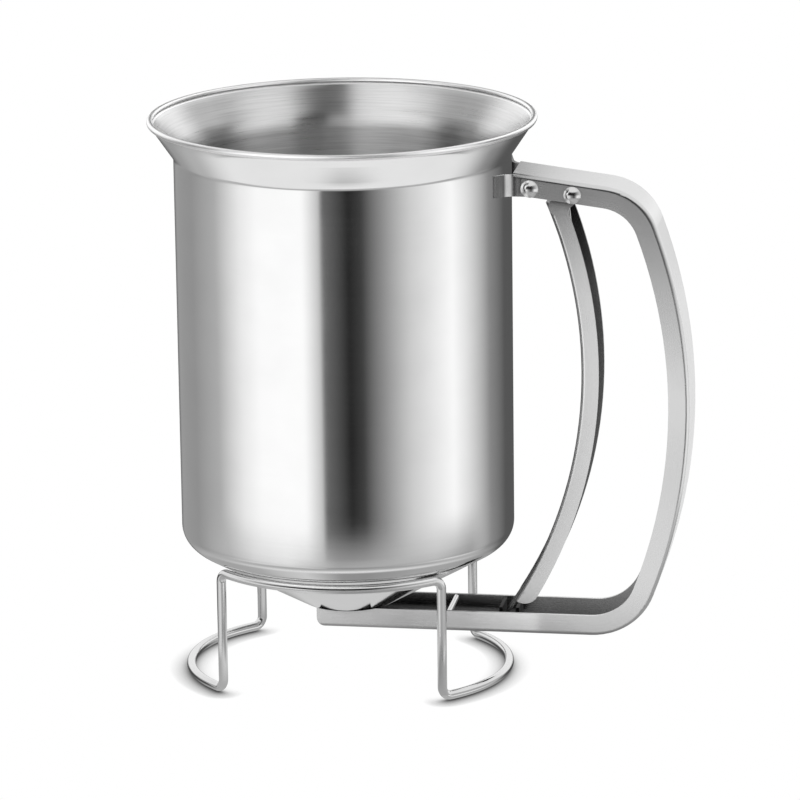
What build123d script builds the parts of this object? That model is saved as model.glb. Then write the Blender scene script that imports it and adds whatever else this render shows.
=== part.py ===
from build123d import *
import os
from math import asin, atan2, cos, degrees, radians, sin, sqrt, tan

# A squeeze-handle batter cup standing in its wire stand. Millimetres, +Z up.
# The origin is on the cup's axis at table height, and the handle points to +X.

# Cup, one drawn shell with a flared mouth and a funnel floor
cup_radius = 50.0
cup_wall = 0.8
cup_height = 170.0
flare_reach = 7.2
flare_height = 11.6
flare_bend_radius = 3.0
rim_bead_radius = 0.9
funnel_edge_z = 42.0
floor_corner_radius = 7.0
funnel_tip_radius = 3.0

# Outlet spout in the funnel's flat tip
spout_bore_radius = 6.0
spout_wall = 1.0
spout_lip_radius = 9.0
spout_lip_height = 1.2
spout_seat_clearance = 0.04
spout_seat_margin = 4.45

# Handle, a bent channel with its web outward
handle_sheet = 1.0
channel_width = 18.6
channel_depth = 6.3
channel_bend_radius = 1.3
handle_end_gap = 2.0
handle_top_drop = 3.0
handle_top_slope = 7.5
grip_wall_gap = 54.0
grip_bulge = 16.45
upper_bend_radius = 18.4
lower_bend_radius = 20.0
arm_underside_z = 14.6
arm_end_margin = 2.5
arm_end_radius = 3.0
outlet_hole_margin = 0.8

# Bracket strip that carries the handle on the cup
bracket_sheet = 1.0
bracket_height = 6.6
bracket_drop = 7.2
bracket_tab_reach = 16.9
bracket_tab_rise = 1.3
bracket_tab_bend_radius = 4.0
bracket_end_bend_radius = 0.8
bracket_seat_clearance = 0.03
bracket_top_clearance = 0.1
bracket_ear_margin = 3.3

# Rivets, placed along the handle's top arm and below its outer face
rivet_depth = 3.9
bracket_rivet_along = 5.4
pivot_along = 18.1
rivet_shank_radius = 1.4
rivet_head_radius = 2.6
rivet_head_height = 1.3
rivet_tail_radius = 1.9
rivet_tail_height = 0.7
rivet_clearance = 0.02
pivot_clearance = 0.05

# Washers at the lever's pivot
washer_radius = 2.6
washer_play = 0.05

# Trigger lever, a bowed channel with its web toward the cup
lever_sheet = 1.0
lever_side_gap = 0.5
lever_depth = 5.2
lever_bulge = 16.38
lever_bend_radius = 1.3
lever_top_set = 8.1
lever_top_drop = 2.8
lever_flange_gap = 3.7
lever_flange_round = 4.4
lever_ear_radius = 2.6
lever_neck_radius = 2.5
lever_neck_drop = 2.5
tongue_width = 8.0
tongue_inset = 2.0
tongue_tip_gap = 2.55

# Return spring, coiled on the pivot
spring_wire = 0.8
spring_mean_radius = 2.2
spring_pitch = 1.3
spring_whole_turns = 5
spring_lever_leg_drop = 21.1
spring_lever_gap = 0.5
spring_handle_leg = 8.5
spring_arcs_per_turn = 4

# Valve slide: an upside-down channel as the gate, a low strip and a fork for the lever's tongue
slide_sheet = 1.0
slide_side_clearance = 0.5
slide_floor_clearance = 0.15
gate_top_gap = 0.15
gate_edge_radius = 0.7
gate_cover_margin = 2.5
strip_width = 10.0
fork_height = 4.6
fork_front_clearance = 0.6
fork_back_clearance = 0.8

# Stop pin welded across the arm, past the opened gate
gate_travel = 22.2
stop_pin_radius = 0.8
stop_pin_drop = 0.1

# Wire stand
stand_wire = 2.8
stand_bend_radius = 3.0
stand_ring_inset = 4.13
stand_leg_angle = 45.9
stand_foot_inset = 1.7
stand_seat_gap = 0.3

# Overrun of every cut past the face it leaves through
cut_overrun = 5.0

# Places worked out from the sizes above
outlet_seat_z = arm_underside_z + channel_depth
arm_floor_z = arm_underside_z + handle_sheet
half_width = channel_width / 2
half_inside = half_width - handle_sheet
handle_end_x = cup_radius + handle_end_gap
mouth_radius = cup_radius + flare_reach
flare_start_z = cup_height - flare_height
handle_top_z = flare_start_z - handle_top_drop
bracket_low_z = handle_top_z - bracket_drop
grip_reach = cup_radius + grip_wall_gap
grip_mid_z = (handle_top_z + arm_underside_z) / 2
grip_radius = ((grip_mid_z - arm_underside_z) ** 2 + grip_bulge**2) / (2 * grip_bulge)
grip_centre = (grip_reach - grip_radius, grip_mid_z)
arm_end_reach = spout_bore_radius + arm_end_margin
lever_half_width = half_inside - lever_side_gap
seat_radius = spout_lip_radius + spout_seat_margin
funnel_slope = atan2(funnel_edge_z - outlet_seat_z, cup_radius - seat_radius)
spout_radius = spout_bore_radius + spout_wall
slide_low_z = arm_floor_z + slide_floor_clearance
tongue_tip_z = slide_low_z + slide_sheet + tongue_tip_gap
lever_flange_low_z = outlet_seat_z + lever_flange_gap
gate_height = outlet_seat_z - gate_top_gap - slide_low_z
gate_half_width = half_inside - slide_side_clearance


def along_top_arm(distance, depth):
    """Side-view point on the handle's top arm, from its cup end and below its outer face."""
    slope = radians(handle_top_slope)
    x = handle_end_x + distance * cos(slope) - depth * sin(slope)
    z = handle_top_z - distance * sin(slope) - depth * cos(slope)
    return (x, z)


def reach_grip(start, heading):
    """Side-view point where a line from start, at a heading in degrees, meets the grip's arc."""
    step = (cos(radians(heading)), sin(radians(heading)))
    offset_x = start[0] - grip_centre[0]
    offset_z = start[1] - grip_centre[1]
    along = offset_x * step[0] + offset_z * step[1]
    length = sqrt(along**2 - offset_x**2 - offset_z**2 + grip_radius**2) - along
    return (start[0] + length * step[0], start[1] + length * step[1])


def bow(low, top, bulge):
    """Centre and radius of the arc from low to top that bulges outward by the given height."""
    span_x = top[0] - low[0]
    span_z = top[1] - low[1]
    span = sqrt(span_x**2 + span_z**2)
    radius = (span**2 / 4 + bulge**2) / (2 * bulge)
    back = (radius - bulge) / span
    x = (low[0] + top[0]) / 2 - back * span_z
    z = (low[1] + top[1]) / 2 + back * span_x
    return (x, z), radius


def lever_angle(radius, z):
    """Angle about the lever's centre of the point at a radius and a height."""
    return degrees(asin((z - lever_centre[1]) / radius))


def lever_point(radius, angle):
    """Side-view point at a radius and an angle about the lever's centre."""
    x = lever_centre[0] + radius * cos(radians(angle))
    z = lever_centre[1] + radius * sin(radians(angle))
    return (x, z)


bracket_rivet = along_top_arm(bracket_rivet_along, rivet_depth)
pivot = along_top_arm(pivot_along, rivet_depth)
lever_top = (pivot[0] - lever_top_set, pivot[1] - lever_top_drop)
tongue_tip = (cup_radius - tongue_inset, tongue_tip_z)
lever_centre, lever_web_radius = bow(tongue_tip, lever_top, lever_bulge)
bracket_end_x = bracket_rivet[0] + bracket_ear_margin
tongue_low_angle = lever_angle(lever_web_radius, tongue_tip_z)
flange_low_angle = lever_angle(lever_web_radius, lever_flange_low_z)
web_top_angle = lever_angle(lever_web_radius, lever_top[1])

os.makedirs("parts", exist_ok=True)


def cross_plane(place):
    """Plane through a side-view place, its x outward from there and its y across the handle."""
    return Plane(origin=(place[0], 0, place[1]), x_dir=(1, 0, 0), z_dir=(0, 0, 1))


def cross_axis(place):
    """Axis across the handle through a side-view place."""
    return Axis((place[0], 0, place[1]), (0, 1, 0))


# Cup shell
with BuildPart() as cup_shell:
    with BuildSketch(Plane.XZ):
        with BuildLine():
            wall_line = FilletPolyline(
                (spout_radius + spout_seat_clearance, outlet_seat_z),
                (seat_radius, outlet_seat_z),
                (cup_radius, funnel_edge_z),
                (cup_radius, flare_start_z),
                (mouth_radius, cup_height - rim_bead_radius),
                radius=[funnel_tip_radius, floor_corner_radius, flare_bend_radius],
            )
            offset(wall_line, amount=cup_wall, side=Side.LEFT)
        make_face()
        with Locations((mouth_radius - rim_bead_radius / 2, cup_height - rim_bead_radius)):
            Circle(rim_bead_radius)
    revolve(axis=Axis.Z)
cup_shell.part.label = "cup_shell"
export_step(cup_shell.part, "parts/cup_shell.step")

# Outlet spout, a lipped ferrule in the funnel's tip
with BuildPart() as outlet_spout:
    with BuildSketch(Plane.XZ):
        with BuildLine():
            lip_low_z = outlet_seat_z + cup_wall
            lip_top_z = lip_low_z + spout_lip_height
            Polyline(
                (spout_bore_radius, outlet_seat_z),
                (spout_radius, outlet_seat_z),
                (spout_radius, lip_low_z),
                (spout_lip_radius, lip_low_z),
                (spout_lip_radius, lip_top_z),
                (spout_bore_radius, lip_top_z),
                close=True,
            )
        make_face()
    revolve(axis=Axis.Z)
outlet_spout.part.label = "outlet_spout"
export_step(outlet_spout.part, "parts/outlet_spout.step")


# Outer handle
def handle_area(inset):
    """Side area held by the handle's back, drawn in by an inset on all sides."""
    left_x = -arm_end_reach - channel_width
    top_left = (left_x, handle_top_z + (handle_end_x - left_x) * tan(radians(handle_top_slope)))
    bottom_left = (left_x, arm_underside_z)
    top_corner = reach_grip(top_left, -handle_top_slope)
    bottom_corner = reach_grip(bottom_left, 0)
    with BuildSketch(Plane.XZ) as area:
        with BuildLine():
            Line(top_left, top_corner)
            ThreePointArc(top_corner, (grip_reach, grip_mid_z), bottom_corner)
            Polyline(bottom_corner, bottom_left, top_left)
        make_face()
        fillet(area.vertices().sort_by_distance(top_corner)[0], upper_bend_radius)
        fillet(area.vertices().sort_by_distance(bottom_corner)[0], lower_bend_radius)
        if inset:
            offset(amount=-inset, kind=Kind.INTERSECTION)
    return area.sketch


with BuildPart() as outer_handle:
    extrude(handle_area(0), amount=half_width, both=True)
    fillet(outer_handle.faces().filter_by(Axis.Y).edges(), channel_bend_radius)
    extrude(handle_area(handle_sheet), amount=half_inside, both=True, mode=Mode.SUBTRACT)
    extrude(handle_area(channel_depth), amount=channel_width, both=True, mode=Mode.SUBTRACT)
    # The top arm ends beside the cup, and the lower arm ends past the outlet, rounded below
    with BuildSketch(Plane.XZ):
        with Locations((handle_end_x, grip_mid_z)):
            Rectangle(grip_radius, grip_radius, align=(Align.MAX, Align.MIN))
        with Locations((arm_end_radius - arm_end_reach, grip_mid_z)):
            Rectangle(grip_radius, grip_radius, align=(Align.MAX, Align.MAX))
        with Locations((arm_end_radius - arm_end_reach, arm_underside_z + arm_end_radius)):
            Circle(arm_end_radius, mode=Mode.SUBTRACT)
            Rectangle(
                arm_end_radius, channel_depth, align=(Align.MAX, Align.MIN), mode=Mode.SUBTRACT
            )
    extrude(amount=channel_width, both=True, mode=Mode.SUBTRACT)
    # At the cup the flanges stop at the rivet's head, and the web goes on
    with BuildSketch(Plane.XZ):
        with BuildLine():
            flange_end = bracket_rivet_along - rivet_head_radius
            below = channel_depth + cut_overrun
            Polyline(
                along_top_arm(-cut_overrun, handle_sheet),
                along_top_arm(flange_end, handle_sheet),
                along_top_arm(flange_end, below),
                along_top_arm(-cut_overrun, below),
                close=True,
            )
        make_face()
    extrude(amount=channel_width, both=True, mode=Mode.SUBTRACT)
    with BuildSketch(Plane.XZ):
        with Locations(bracket_rivet, pivot):
            Circle(rivet_shank_radius + rivet_clearance)
    extrude(amount=channel_width, both=True, mode=Mode.SUBTRACT)
    with BuildSketch(Plane.XY.offset(arm_underside_z - cut_overrun)):
        Circle(spout_bore_radius + outlet_hole_margin)
    extrude(amount=cut_overrun + channel_depth, mode=Mode.SUBTRACT)
outer_handle.part.label = "outer_handle"
export_step(outer_handle.part, "parts/outer_handle.step")

# Handle bracket, a strip bent out from the cup and back
ear_line_y = half_inside - bracket_sheet / 2
tab_line_radius = cup_radius + bracket_sheet / 2
tab_end = (sqrt(tab_line_radius**2 - bracket_tab_reach**2), bracket_tab_reach)
ear_root = (sqrt(tab_line_radius**2 - ear_line_y**2), ear_line_y)
ear_tip = (bracket_end_x - bracket_sheet / 2, ear_line_y)
with BuildPart() as handle_bracket:
    with BuildSketch(Plane.XY.offset(bracket_low_z)):
        with BuildLine() as strip_line:
            FilletPolyline(
                (tab_end[0], -tab_end[1]),
                (ear_root[0], -ear_root[1]),
                (ear_tip[0], -ear_tip[1]),
                ear_tip,
                ear_root,
                tab_end,
                radius=[
                    bracket_tab_bend_radius,
                    bracket_end_bend_radius,
                    bracket_end_bend_radius,
                    bracket_tab_bend_radius,
                ],
            )
        trace(strip_line.line, bracket_sheet)
        Circle(cup_radius + bracket_seat_clearance, mode=Mode.SUBTRACT)
    extrude(amount=bracket_height + bracket_tab_rise)
    # The tabs rise toward their ends
    with BuildSketch(Plane.YZ):
        with BuildLine():
            bracket_top_z = bracket_low_z + bracket_height
            Polyline(
                (-bracket_tab_reach, bracket_low_z + bracket_tab_rise),
                (-ear_line_y, bracket_low_z),
                (ear_line_y, bracket_low_z),
                (bracket_tab_reach, bracket_low_z + bracket_tab_rise),
                (bracket_tab_reach, bracket_top_z + bracket_tab_rise),
                (ear_line_y, bracket_top_z),
                (-ear_line_y, bracket_top_z),
                (-bracket_tab_reach, bracket_top_z + bracket_tab_rise),
                close=True,
            )
        make_face()
    extrude(amount=grip_reach, mode=Mode.INTERSECT)
    # Under the handle's top arm the strip is cut back to clear its web
    with BuildSketch(Plane.XZ):
        with BuildLine():
            web_depth = handle_sheet + bracket_top_clearance
            near_cut = along_top_arm(-bracket_top_clearance, web_depth)
            far_cut = along_top_arm(pivot_along, web_depth)
            above_z = bracket_top_z + cut_overrun
            Polyline(near_cut, far_cut, (far_cut[0], above_z), (near_cut[0], above_z), close=True)
        make_face()
    extrude(amount=channel_width, both=True, mode=Mode.SUBTRACT)
    with BuildSketch(Plane.XZ):
        with Locations(bracket_rivet):
            Circle(rivet_shank_radius + rivet_clearance)
    extrude(amount=channel_width, both=True, mode=Mode.SUBTRACT)
handle_bracket.part.label = "handle_bracket"
export_step(handle_bracket.part, "parts/handle_bracket.step")

# Bracket rivets, one through each side of the handle and the bracket
ear_inside_y = half_inside - bracket_sheet
with BuildPart() as bracket_rivets:
    with BuildSketch(cross_plane(bracket_rivet)):
        with BuildLine():
            TangentArc(
                (0, half_width + rivet_head_height), (rivet_head_radius, half_width), tangent=(1, 0)
            )
            Polyline(
                (rivet_head_radius, half_width),
                (rivet_shank_radius, half_width),
                (rivet_shank_radius, ear_inside_y),
                (rivet_tail_radius, ear_inside_y),
                (rivet_tail_radius, ear_inside_y - rivet_tail_height),
                (0, ear_inside_y - rivet_tail_height),
                (0, half_width + rivet_head_height),
            )
        make_face()
    revolve(axis=cross_axis(bracket_rivet))
    mirror(about=Plane.XZ)
bracket_rivets.part.label = "bracket_rivets"
export_step(bracket_rivets.part, "parts/bracket_rivets.step")

# Pivot rivet, one long pin headed at both ends
with BuildPart() as pivot_rivet:
    with BuildSketch(cross_plane(pivot)):
        with BuildLine():
            TangentArc(
                (0, half_width + rivet_head_height), (rivet_head_radius, half_width), tangent=(1, 0)
            )
            Polyline(
                (rivet_head_radius, half_width),
                (rivet_shank_radius, half_width),
                (rivet_shank_radius, 0),
                (0, 0),
                (0, half_width + rivet_head_height),
            )
        make_face()
    revolve(axis=cross_axis(pivot))
    mirror(about=Plane.XZ)
pivot_rivet.part.label = "pivot_rivet"
export_step(pivot_rivet.part, "parts/pivot_rivet.step")

# Pivot washers, one on each side of the lever
with BuildPart() as pivot_washers:
    with BuildSketch(Plane.XZ.offset(lever_half_width + washer_play)):
        with Locations(pivot):
            Circle(washer_radius)
            Circle(rivet_shank_radius + pivot_clearance, mode=Mode.SUBTRACT)
    extrude(amount=lever_side_gap - 2 * washer_play)
    mirror(about=Plane.XZ)
pivot_washers.part.label = "pivot_washers"
export_step(pivot_washers.part, "parts/pivot_washers.step")


# Trigger lever
def lever_sector(inner, outer, low_angle, high_angle):
    """Side area between two radii and two angles about the lever's centre."""
    middle = (low_angle + high_angle) / 2
    with BuildSketch(Plane.XZ) as sector:
        with BuildLine():
            ThreePointArc(*(lever_point(inner, a) for a in (low_angle, middle, high_angle)))
            Line(lever_point(inner, high_angle), lever_point(outer, high_angle))
            ThreePointArc(*(lever_point(outer, a) for a in (high_angle, middle, low_angle)))
            Line(lever_point(outer, low_angle), lever_point(inner, low_angle))
        make_face()
    return sector.sketch_local


web_inside_radius = lever_web_radius + lever_sheet
flange_radius = lever_web_radius + lever_depth
neck_angle = web_top_angle - degrees(lever_neck_drop / flange_radius)
neck = lever_point(flange_radius - lever_neck_radius, neck_angle)
overrun_angle = degrees(cut_overrun / lever_web_radius)
with BuildPart() as trigger_lever:
    with BuildSketch(Plane.XZ) as flange:
        add(lever_sector(lever_web_radius, flange_radius, flange_low_angle, web_top_angle))
        low_corner = lever_point(flange_radius, flange_low_angle)
        fillet(flange.vertices().sort_by_distance(low_corner)[0], lever_flange_round)
    extrude(amount=lever_half_width, both=True)
    web_edges = trigger_lever.edges().filter_by(GeomType.CIRCLE).group_by(SortBy.RADIUS)[-2]
    fillet(web_edges, lever_bend_radius)
    # The ears lean out from the flanges' tops to the pivot
    with BuildSketch(Plane.XZ):
        with BuildLine():
            CenterArc(pivot, lever_ear_radius, 0, 360)
            CenterArc(neck, lever_neck_radius, 0, 360)
        make_hull()
    extrude(amount=lever_half_width, both=True)
    with BuildSketch(Plane.XZ):
        add(
            lever_sector(
                web_inside_radius,
                flange_radius + lever_depth + cut_overrun,
                flange_low_angle - overrun_angle,
                web_top_angle + overrun_angle,
            )
        )
    extrude(amount=lever_half_width - lever_sheet, both=True, mode=Mode.SUBTRACT)
    with BuildSketch(Plane.XZ):
        tongue_top_angle = (flange_low_angle + web_top_angle) / 2
        add(lever_sector(lever_web_radius, web_inside_radius, tongue_low_angle, tongue_top_angle))
    extrude(amount=tongue_width / 2, both=True)
    with BuildSketch(Plane.XZ):
        with Locations(pivot):
            Circle(rivet_shank_radius + pivot_clearance)
    extrude(amount=channel_width, both=True, mode=Mode.SUBTRACT)
trigger_lever.part.label = "trigger_lever"
export_step(trigger_lever.part, "parts/trigger_lever.step")

# Valve slide
fork_top_z = slide_low_z + slide_sheet + fork_height
tongue_back_x = lever_point(web_inside_radius, lever_angle(web_inside_radius, fork_top_z))[0]
fork_front_x = tongue_tip[0] - fork_front_clearance
fork_back_x = tongue_back_x + fork_back_clearance
gate_reach = spout_bore_radius + gate_cover_margin
with BuildPart() as valve_slide:
    with BuildSketch(Plane.YZ.offset(-gate_reach)) as gate_section:
        with Locations((0, slide_low_z)):
            Rectangle(2 * gate_half_width, gate_height, align=(Align.CENTER, Align.MIN))
        fillet(gate_section.vertices().group_by(Axis.Y)[-1], gate_edge_radius)
        with Locations((0, slide_low_z)):
            Rectangle(
                2 * (gate_half_width - slide_sheet),
                gate_height - slide_sheet,
                align=(Align.CENTER, Align.MIN),
                mode=Mode.SUBTRACT,
            )
    extrude(amount=2 * gate_reach)
    # The side view of the end wall, the strip and the fork is one bent sheet
    with BuildSketch(Plane.XZ):
        with Locations((gate_reach, slide_low_z)):
            Rectangle(slide_sheet, gate_height, align=(Align.MAX, Align.MIN))
            Rectangle(
                fork_back_x + slide_sheet - gate_reach, slide_sheet, align=(Align.MIN, Align.MIN)
            )
        with Locations((fork_front_x - slide_sheet, slide_low_z), (fork_back_x, slide_low_z)):
            Rectangle(slide_sheet, slide_sheet + fork_height, align=(Align.MIN, Align.MIN))
    extrude(amount=strip_width / 2, both=True)
valve_slide.part.label = "valve_slide"
export_step(valve_slide.part, "parts/valve_slide.step")

# Stop pin
with BuildPart() as stop_pin:
    with BuildSketch(Plane.XZ):
        stop_pin_x = gate_reach + gate_travel + stop_pin_radius
        with Locations((stop_pin_x, outlet_seat_z - stop_pin_drop - stop_pin_radius)):
            Circle(stop_pin_radius)
    extrude(amount=half_inside, both=True)
stop_pin.part.label = "stop_pin"
export_step(stop_pin.part, "parts/stop_pin.step")

# Return spring: the lever's leg, the coil about the pivot and the handle's leg
foot_radius_line = web_inside_radius + spring_lever_gap + spring_wire / 2
foot_angle_line = lever_angle(foot_radius_line, pivot[1] - spring_lever_leg_drop)
spring_foot = lever_point(foot_radius_line, foot_angle_line)
foot_distance = sqrt((pivot[0] - spring_foot[0]) ** 2 + (pivot[1] - spring_foot[1]) ** 2)
spring_lever_leg = sqrt(foot_distance**2 - spring_mean_radius**2)
to_pivot = degrees(atan2(pivot[1] - spring_foot[1], pivot[0] - spring_foot[0]))
lever_leg_start = to_pivot + 90 + degrees(asin(spring_mean_radius / foot_distance))
handle_leg_start = 90 - handle_top_slope
coil_sweep = 360 * spring_whole_turns + lever_leg_start - handle_leg_start
coil_length = spring_pitch * coil_sweep / 360
coil_steps = round(spring_arcs_per_turn * coil_sweep / 360)


def coil_point(share):
    """Point of the coil's centre line at a share of its sweep."""
    angle = radians(lever_leg_start - coil_sweep * share)
    return Vector(
        pivot[0] + spring_mean_radius * cos(angle),
        coil_length * (share - 1 / 2),
        pivot[1] + spring_mean_radius * sin(angle),
    )


def coil_heading(share):
    """Direction of the coil's centre line, level across at its two ends."""
    angle = radians(lever_leg_start - coil_sweep * share)
    across = coil_length / radians(coil_sweep) if 0 < share < 1 else 0
    turn = spring_mean_radius
    return Vector(turn * sin(angle), across, -turn * cos(angle)).normalized()


def biarc(start, start_heading, end, end_heading):
    """Two arcs from start to end that leave and arrive at the headings and meet smoothly."""
    span = end - start
    both = start_heading + end_heading
    square = 2 * (1 - start_heading.dot(end_heading))
    along = span.dot(both)
    reach = (sqrt(along**2 + square * span.dot(span)) - along) / square
    first_corner = start + start_heading * reach
    last_corner = end - end_heading * reach
    meet = (first_corner + last_corner) / 2
    TangentArc(start, meet, tangent=start_heading)
    TangentArc(meet, end, tangent=last_corner - first_corner)


with BuildPart() as return_spring:
    with BuildLine() as spring_path:
        leg_end = coil_point(0) - coil_heading(0) * spring_lever_leg
        Line(leg_end, coil_point(0))
        for step in range(coil_steps):
            ends = (step / coil_steps, (step + 1) / coil_steps)
            biarc(
                coil_point(ends[0]), coil_heading(ends[0]), coil_point(ends[1]), coil_heading(ends[1])
            )
        Line(coil_point(1), coil_point(1) + coil_heading(1) * spring_handle_leg)
    with BuildSketch(Plane(origin=leg_end, z_dir=coil_heading(0))):
        Circle(spring_wire / 2)
    sweep(path=spring_path.line)
return_spring.part.label = "return_spring"
export_step(return_spring.part, "parts/return_spring.step")

# Least gap between points of the coil at least half a turn apart
sample_count = coil_steps * coil_steps
coil_samples = [coil_point(i / sample_count) for i in range(sample_count + 1)]
half_turn = round(len(coil_samples) * 180 / coil_sweep)
spring_gap = min(
    (coil_samples[i] - coil_samples[j]).length
    for i in range(len(coil_samples))
    for j in range(i + half_turn, len(coil_samples))
)
print("least gap between spring turns", round(spring_gap - spring_wire, 3))

# Wire stand: front half from foot to foot, then its mirror image behind
wire_radius = stand_wire / 2
ring_radius = cup_radius - stand_ring_inset
leg_distance = sqrt(ring_radius**2 + stand_bend_radius**2)
stand_leg_x = leg_distance * sin(radians(stand_leg_angle))
stand_leg_y = leg_distance * cos(radians(stand_leg_angle))
stand_foot_reach = cup_radius - stand_foot_inset
foot_bulge = stand_foot_reach - stand_leg_x
foot_centre_offset = (stand_leg_y**2 - foot_bulge**2 - stand_bend_radius**2) / (2 * foot_bulge)
foot_radius = foot_bulge + foot_centre_offset
foot_angle = atan2(stand_leg_y, foot_centre_offset) - atan2(stand_bend_radius, foot_radius)
ring_angle = radians(stand_leg_angle) - atan2(stand_bend_radius, ring_radius)
funnel_z_at_ring = funnel_edge_z - stand_ring_inset * tan(funnel_slope)
ring_z = funnel_z_at_ring - (wire_radius + stand_seat_gap) / cos(funnel_slope)


def stand_corner(side):
    """Edges from the ring's front to a foot's middle, on the left (-1) or right (1) side."""
    ring_heading = Vector(side * cos(ring_angle), sin(ring_angle), 0)
    ring_end = Vector(side * ring_radius * sin(ring_angle), -ring_radius * cos(ring_angle), ring_z)
    ring_middle = Vector(
        side * ring_radius * sin(ring_angle / 2), -ring_radius * cos(ring_angle / 2), ring_z
    )
    leg = ring_end + ring_heading * stand_bend_radius
    leg_top = Vector(leg.X, leg.Y, ring_z - stand_bend_radius)
    leg_low = Vector(leg.X, leg.Y, wire_radius + stand_bend_radius)
    foot_heading = Vector(side * sin(foot_angle), cos(foot_angle), 0)
    foot_start = Vector(leg.X, leg.Y, wire_radius) + foot_heading * stand_bend_radius
    foot_end = Vector(side * stand_foot_reach, 0, wire_radius)
    ThreePointArc((0, -ring_radius, ring_z), ring_middle, ring_end)
    TangentArc(ring_end, leg_top, tangent=ring_heading)
    Line(leg_top, leg_low)
    TangentArc(leg_low, foot_start, tangent=(0, 0, -1))
    TangentArc(foot_start, foot_end, tangent=foot_heading)


with BuildPart() as wire_stand:
    with BuildLine() as stand_path:
        stand_corner(-1)
        stand_corner(1)
    with BuildSketch(Plane(origin=(-stand_foot_reach, 0, wire_radius), z_dir=(0, -1, 0))):
        Circle(wire_radius)
    sweep(path=stand_path.wires()[0])
    mirror(about=Plane.XZ)
wire_stand.part.label = "wire_stand"
export_step(wire_stand.part, "parts/wire_stand.step")
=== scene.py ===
from math import asin, atan2, ceil, cos, hypot, pi, radians, sin, sqrt, tan

import bmesh
import bpy
from mathutils import Matrix, Vector


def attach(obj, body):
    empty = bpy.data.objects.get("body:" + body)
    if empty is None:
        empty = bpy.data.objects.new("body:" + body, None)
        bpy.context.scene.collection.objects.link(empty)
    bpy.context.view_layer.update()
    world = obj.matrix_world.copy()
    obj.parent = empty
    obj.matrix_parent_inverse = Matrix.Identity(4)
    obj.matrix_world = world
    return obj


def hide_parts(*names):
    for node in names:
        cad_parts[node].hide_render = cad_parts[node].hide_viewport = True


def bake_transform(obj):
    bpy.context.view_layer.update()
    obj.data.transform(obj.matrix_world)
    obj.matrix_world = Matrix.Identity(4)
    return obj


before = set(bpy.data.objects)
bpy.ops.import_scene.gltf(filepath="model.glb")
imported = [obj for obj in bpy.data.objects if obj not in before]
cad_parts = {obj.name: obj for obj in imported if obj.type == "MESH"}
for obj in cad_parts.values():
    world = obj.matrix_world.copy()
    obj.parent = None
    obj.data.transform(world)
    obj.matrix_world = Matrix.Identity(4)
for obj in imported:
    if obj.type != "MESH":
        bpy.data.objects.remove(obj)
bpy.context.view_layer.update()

scene = bpy.context.scene
MM = 0.001

# Sizes that the looks share with the solids, in millimetres
cup_radius = 50.0
cup_wall = 0.8
cup_height = 170.0
mouth_radius = 57.2
flare_start_z = 158.4
flare_bend_radius = 3.0
inside_bend_radius = 10.0
rim_bead_radius = 0.9
funnel_edge_z = 42.0
floor_corner_radius = 7.0
funnel_tip_radius = 3.0
outlet_seat_z = 20.9
seat_radius = 13.45
spout_hole_radius = 7.04
handle_end = (52.0, 155.4)
handle_top_slope = radians(7.5)
grip_reach = 104.0
grip_mid_z = 85.0
grip_radius = 158.87
upper_bend_radius = 18.4
lower_bend_radius = 20.0
arm_underside_z = 14.6
arm_end_x = -8.5
lever_centre = (-61.07, 94.99)
lever_web_radius = 132.77
pivot = (69.436, 149.171)
stand_wire = 2.8
stand_bend_radius = 3.0
ring_radius = 45.87
ring_z = 37.65
leg_angle = radians(45.9)
foot_reach = 48.3
handle_half_width = 9.3
bracket_inside = 7.3
bracket_rivet = (56.85, 150.8)
rivet_shank_radius = 1.4
rivet_head_radius = 2.6
rivet_head_height = 1.3
rivet_tail_radius = 1.9
rivet_tail_height = 0.7
lever_sheet = 1.0
spring_wire = 0.8
spring_mean_radius = 2.2
spring_pitch = 1.3
spring_whole_turns = 5
spring_lever_leg_drop = 21.1
spring_lever_gap = 0.5
spring_handle_leg = 8.5

# How finely the looks are drawn: counts, angles in degrees and steps in millimetres
cup_segments = 240
rivet_segments = 48
stand_sides = 24
spring_sides = 12
spring_leg_steps = 16
spring_coil_steps = 160
turned_smooth_angle = 35
wire_smooth_angle = 50
bend_step = 0.4


# Mesh helpers

def put(name, mesh, body, slot, *nodes):
    """Links a mesh as a piece that rides on a body and stands for the given nodes."""
    piece = bpy.data.objects.new(name, mesh)
    scene.collection.objects.link(piece)
    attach(piece, body)
    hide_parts(*nodes)
    return piece


def set_uv(mesh, values):
    """Writes one UV pair for each corner of the mesh."""
    layer = mesh.uv_layers.new(name="run")
    for corner, pair in enumerate(values):
        layer.data[corner].uv = pair


def smooth(mesh, angle):
    """Smooth shading with edges sharper than the angle kept."""
    mesh.shade_smooth()
    mesh.set_sharp_from_angle(angle=radians(angle))


def arc_points(centre, radius, start, end, step):
    """Points on an arc from one angle to another, no further apart than the step."""
    count = max(2, ceil(abs(end - start) * radius / step))
    return [
        (
            centre[0] + radius * cos(start + (end - start) * i / count),
            centre[1] + radius * sin(start + (end - start) * i / count),
        )
        for i in range(count + 1)
    ]


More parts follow.
